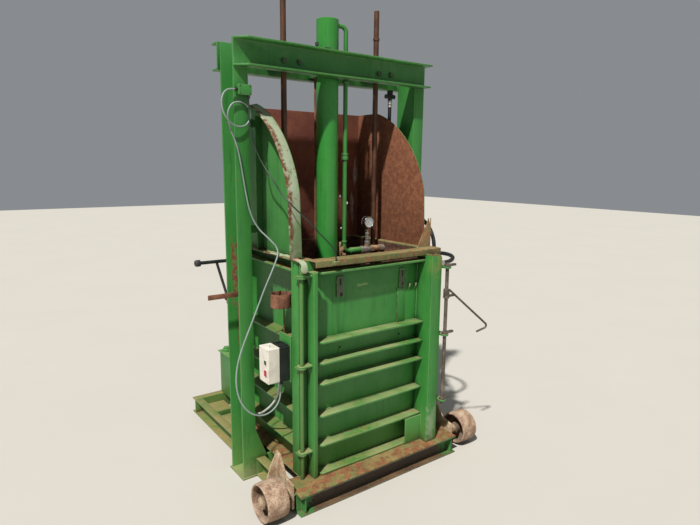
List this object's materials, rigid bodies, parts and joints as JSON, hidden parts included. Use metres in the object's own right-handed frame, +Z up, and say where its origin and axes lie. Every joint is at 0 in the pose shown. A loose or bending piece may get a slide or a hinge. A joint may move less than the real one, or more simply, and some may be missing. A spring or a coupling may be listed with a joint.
{
  "type": "wool press",
  "caption": "Tall hydraulic wool press: channel posts and crossbeams, ribbed pressing box with hinged front door, open hopper and overhead cylinder driving a guided platen.",
  "frame": {"origin": "on the floor midway between the two posts, at the centre of the foot bolster's underside", "axes": "+Z up, -Y is the front with the door, +X is to the right as seen from the front"},
  "size_m": [1.5482, 1.416, 2.507],
  "materials": {
    "green_paint": "worn gloss enamel",
    "cylinder_green": "gloss enamel",
    "rusty_paint": "rusted through paint",
    "rusty_steel": "rusted",
    "olive_edge": "pale worn paint",
    "rod_steel": "oily brown",
    "bolt_steel": "dull",
    "wheel_iron": "rusted, mottled",
    "fitting_steel": "dull plated",
    "gauge_chrome": "polished",
    "pointer_black": "satin",
    "box_cream": "satin",
    "box_black": "matt",
    "button_green": "gloss",
    "button_red": "gloss",
    "hose_rubber": "matt",
    "cable_grey": "satin",
    "cable_white": "satin",
    "cable_dark": "satin",
    "motor_grey": "satin",
    "pump_iron": "painted"
  },
  "bodies": {
    "press_frame": {"post_left": "green_paint", "post_right": "green_paint", "crossbeam_front": "green_paint", "crossbeam_rear": "green_paint", "foot_bolster": "green_paint", "base_front_channel": "green_paint", "base_side_rails": "green_paint", "rear_deck": "green_paint", "floor_plate": "rusty_paint", "box_side_left": "green_paint", "box_side_right": "green_paint", "box_rear": "green_paint", "corner_posts": "green_paint", "rim_frame": "rusty_paint", "hopper_side_left": "rusty_paint", "hopper_side_right": "rusty_paint", "hopper_back": "rusty_steel", "hopper_edging": "olive_edge", "hinge_strap": "olive_edge", "hinge_rod": "green_paint", "hinge_brackets": "green_paint", "cylinder_barrel": "cylinder_green", "guide_blocks": "green_paint", "guide_bolts": "bolt_steel", "cylinder_fittings": "fitting_steel", "pressure_pipe": "green_paint", "manifold_pipe": "rusty_steel", "return_pipe": "rusty_steel", "pressure_gauge": "gauge_chrome", "control_valve": "fitting_steel", "valve_hose": "hose_rubber", "rear_hose": "hose_rubber", "oil_tank": "green_paint", "electric_motor": "motor_grey", "hydraulic_pump": "pump_iron", "control_box_base": "box_black", "control_box_cover": "box_cream", "control_cable": "cable_grey", "motor_cable": "cable_white", "rim_cable": "cable_dark", "junction_box": "green_paint", "pin_cup": "rusty_steel", "wheel_axles": "rusty_steel", "lock_brackets": "green_paint", "lever_bracket": "rusty_steel"},
    "platen": {"platen": "rusty_steel", "guide_rods": "rod_steel", "piston_rod": "rod_steel"},
    "door": {"door_panel": "green_paint", "door_stile_left": "green_paint", "door_stile_right": "green_paint", "door_ribs": "green_paint", "door_fittings": "green_paint"},
    "lock": {"lock_shaft": "rusty_steel"},
    "wheel_left": {"wheel_left": "wheel_iron"},
    "wheel_right": {"wheel_right": "wheel_iron"},
    "start_button": {"start_button": "button_green"},
    "stop_button": {"stop_button": "button_red"},
    "hand_lever": {"hand_lever": "rusty_steel"},
    "gauge_pointer": {"gauge_pointer": "pointer_black"}
  },
  "joints": [
    {"name": "platen_slide", "type": "slide", "parent": "press_frame", "child": "platen", "axis": [0, 0, 1], "range_m": [-0.11, 0.77]},
    {"name": "door_hinge", "type": "hinge", "parent": "press_frame", "child": "door", "pos_m": [-0.439, -0.393, 0.6], "axis": [0, 0, -1], "range_deg": [0, 110]},
    {"name": "lock_turn", "type": "hinge", "parent": "press_frame", "child": "lock", "pos_m": [0.424, -0.5, 0.7], "axis": [0, 0, -1], "range_deg": [0, 170]},
    {"name": "wheel_left_spin", "type": "hinge", "parent": "press_frame", "child": "wheel_left", "pos_m": [-0.645, -0.44, 0.096], "axis": [1, 0, 0], "continuous": true},
    {"name": "wheel_right_spin", "type": "hinge", "parent": "press_frame", "child": "wheel_right", "pos_m": [0.645, -0.44, 0.096], "axis": [1, 0, 0], "continuous": true},
    {"name": "start_push", "type": "slide", "parent": "press_frame", "child": "start_button", "axis": [1, 0, 0], "range_m": [0, 0.004], "stiffness_N_per_m": 500, "springref_m": -0.001},
    {"name": "stop_push", "type": "slide", "parent": "press_frame", "child": "stop_button", "axis": [1, 0, 0], "range_m": [0, 0.004], "stiffness_N_per_m": 500, "springref_m": -0.001},
    {"name": "hand_lever_swing", "type": "hinge", "parent": "press_frame", "child": "hand_lever", "pos_m": [-0.597, 0.096, 0.96], "axis": [0, 1, 0], "range_deg": [-12, 12]},
    {"name": "gauge_needle", "type": "hinge", "parent": "press_frame", "child": "gauge_pointer", "pos_m": [0.23, -0.047, 1.33], "axis": [0, 1, 0], "range_deg": [0, 270]}
  ]
}
